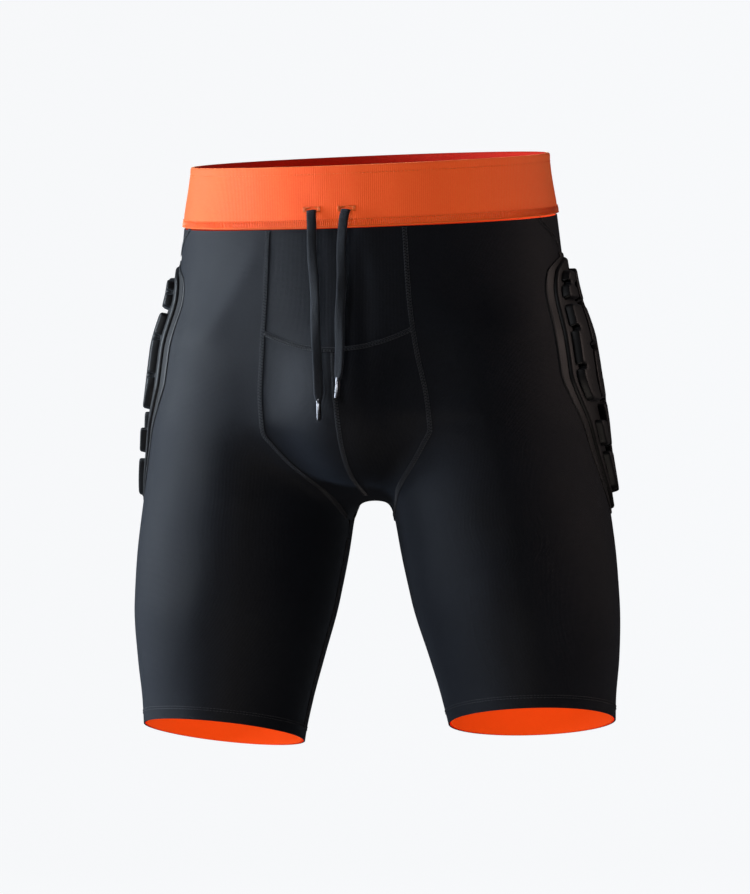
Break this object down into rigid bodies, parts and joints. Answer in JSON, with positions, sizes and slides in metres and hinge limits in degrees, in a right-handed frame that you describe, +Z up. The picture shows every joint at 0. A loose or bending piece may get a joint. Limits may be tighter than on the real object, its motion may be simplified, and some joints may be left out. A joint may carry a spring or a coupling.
{
  "type": "padded impact shorts",
  "caption": "Close-fitting padded sport shorts with an elastic waistband, flat drawcord, shaped front pouch and segmented foam pads over both hips.",
  "frame": {"origin": "centre of the waist opening, at the waistband top edge at the wearer sides", "axes": "+Z up, front faces -Y, wearer left is +X"},
  "size_m": [0.3891, 0.2584, 0.478],
  "materials": {
    "black_knit": "matt stretch knit with a faint sheen",
    "orange_webbing": "ribbed knitted elastic, soft matt",
    "elastic_core": "covered rubber elastic",
    "band_lining": "brushed knit",
    "leg_lining": "brushed knit",
    "hem_tape": "soft knitted tape",
    "orange_thread": "polyester sewing thread",
    "black_thread": "polyester sewing thread, slight sheen",
    "black_cord": "flat braid",
    "aglet_metal": "satin crimped metal tip",
    "pad_film": "thin matt film with a fine knit face",
    "pad_foam": "moulded EVA foam under a fine knit",
    "label_satin": "blank woven satin"
  },
  "bodies": {
    "root": {"care_label": "label_satin", "drawcord_tunnel_run": "black_cord", "front_yoke_panel": "black_knit", "gusset_panel": "black_knit", "left_buttonhole": "orange_thread", "left_front_seam_stitching": "black_thread", "left_hem_facing": "hem_tape", "left_hem_stitching": "black_thread", "left_inseam_stitching": "black_thread", "left_leg_lining": "leg_lining", "left_leg_panel": "black_knit", "left_pad_base_plate": "pad_foam", "left_pad_blocks_front": "pad_foam", "left_pad_blocks_middle": "pad_foam", "left_pad_blocks_rear": "pad_foam", "left_pad_edge_stitching": "black_thread", "left_pad_film": "pad_film", "left_pouch_panel": "black_knit", "left_seat_seam_stitching": "black_thread", "pouch_seam_stitching": "black_thread", "right_buttonhole": "orange_thread", "right_front_seam_stitching": "black_thread", "right_hem_facing": "hem_tape", "right_hem_stitching": "black_thread", "right_inseam_stitching": "black_thread", "right_leg_lining": "leg_lining", "right_leg_panel": "black_knit", "right_pad_base_plate": "pad_foam", "right_pad_blocks_front": "pad_foam", "right_pad_blocks_middle": "pad_foam", "right_pad_blocks_rear": "pad_foam", "right_pad_edge_stitching": "black_thread", "right_pad_film": "pad_film", "right_pouch_panel": "black_knit", "right_seat_seam_stitching": "black_thread", "seat_panel": "black_knit", "waistband_elastic": "elastic_core", "waistband_lining": "band_lining", "waistband_lower_stitching": "orange_thread", "waistband_shell": "orange_webbing", "waistband_upper_stitching": "orange_thread", "yoke_seam_stitching": "black_thread"},
    "left_tail": {"left_drawcord_tail": "black_cord", "left_aglet": "aglet_metal"},
    "right_tail": {"right_drawcord_tail": "black_cord", "right_aglet": "aglet_metal"}
  },
  "joints": [
    {"name": "right_tail_slide", "type": "slide", "parent": "root", "child": "right_tail", "axis": [0.05, -0.05, -0.9975], "range_m": [-0.05, 0.05], "deforming": ["right_drawcord_tail"]},
    {"name": "left_tail_slide", "type": "slide", "parent": "root", "child": "left_tail", "axis": [-0.01, -0.05, -0.9987], "range_m": [-0.05, 0.05], "deforming": ["left_drawcord_tail"]}
  ],
  "couplings": [
    {"joint": "left_tail_slide", "follows": "right_tail_slide", "ratio": -1}
  ]
}
